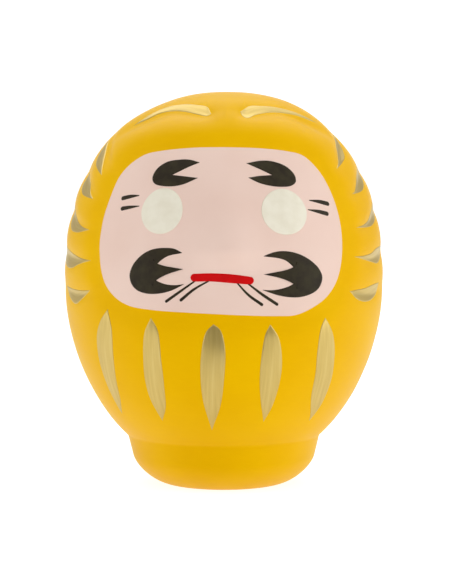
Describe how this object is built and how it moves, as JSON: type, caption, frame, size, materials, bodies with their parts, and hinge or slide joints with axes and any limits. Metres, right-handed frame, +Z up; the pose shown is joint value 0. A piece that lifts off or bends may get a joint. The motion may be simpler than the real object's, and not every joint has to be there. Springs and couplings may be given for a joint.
{
  "type": "daruma doll",
  "caption": "Round papier-mache wishing doll with a weighted flat foot, a sunk painted face and gold brush strokes on a yellow robe.",
  "frame": {"origin": "middle of the resting face under the foot", "axes": "+Z up, -Y the way the face looks, +X towards the viewer's right when the face is looked at"},
  "size_m": [0.0812, 0.0794, 0.1],
  "materials": {
    "robe_paint": "papier-mache under satin yellow water-based paint",
    "raw_clay": "air-dried clay, matte",
    "grey_card": "plain grey board",
    "raw_paper": "glued paper strip, matte",
    "face_paint": "matte pale pink paint film",
    "eye_paint": "matte off-white paint film",
    "black_ink": "satin brown-black paint film",
    "red_lacquer": "satin red paint film",
    "gold_paint": "bronze-powder paint, brushed on"
  },
  "bodies": {
    "root": {"base_disc": "grey_card", "base_weight": "raw_clay", "beard_left": "black_ink", "beard_right": "black_ink", "belly_stroke_1": "gold_paint", "belly_stroke_2": "gold_paint", "belly_stroke_3": "gold_paint", "belly_stroke_4": "gold_paint", "belly_stroke_5": "gold_paint", "crown_stroke_left": "gold_paint", "crown_stroke_right": "gold_paint", "eye_left": "eye_paint", "eye_right": "eye_paint", "eyebrow_left": "black_ink", "eyebrow_right": "black_ink", "face_coat": "face_paint", "mouth": "red_lacquer", "seam_strip_crown": "raw_paper", "seam_strip_left_lower": "raw_paper", "seam_strip_left_upper": "raw_paper", "seam_strip_right_lower": "raw_paper", "seam_strip_right_upper": "raw_paper", "shell_front": "robe_paint", "shell_rear": "robe_paint", "side_stroke_left_1": "gold_paint", "side_stroke_left_2": "gold_paint", "side_stroke_left_3": "gold_paint", "side_stroke_left_4": "gold_paint", "side_stroke_left_5": "gold_paint", "side_stroke_right_1": "gold_paint", "side_stroke_right_2": "gold_paint", "side_stroke_right_3": "gold_paint", "side_stroke_right_4": "gold_paint", "side_stroke_right_5": "gold_paint", "temple_mark_left_lower": "black_ink", "temple_mark_left_upper": "black_ink", "temple_mark_right_lower": "black_ink", "temple_mark_right_upper": "black_ink", "whisker_left_inner": "black_ink", "whisker_left_outer": "black_ink", "whisker_right_inner": "black_ink", "whisker_right_outer": "black_ink"}
  },
  "joints": []
}
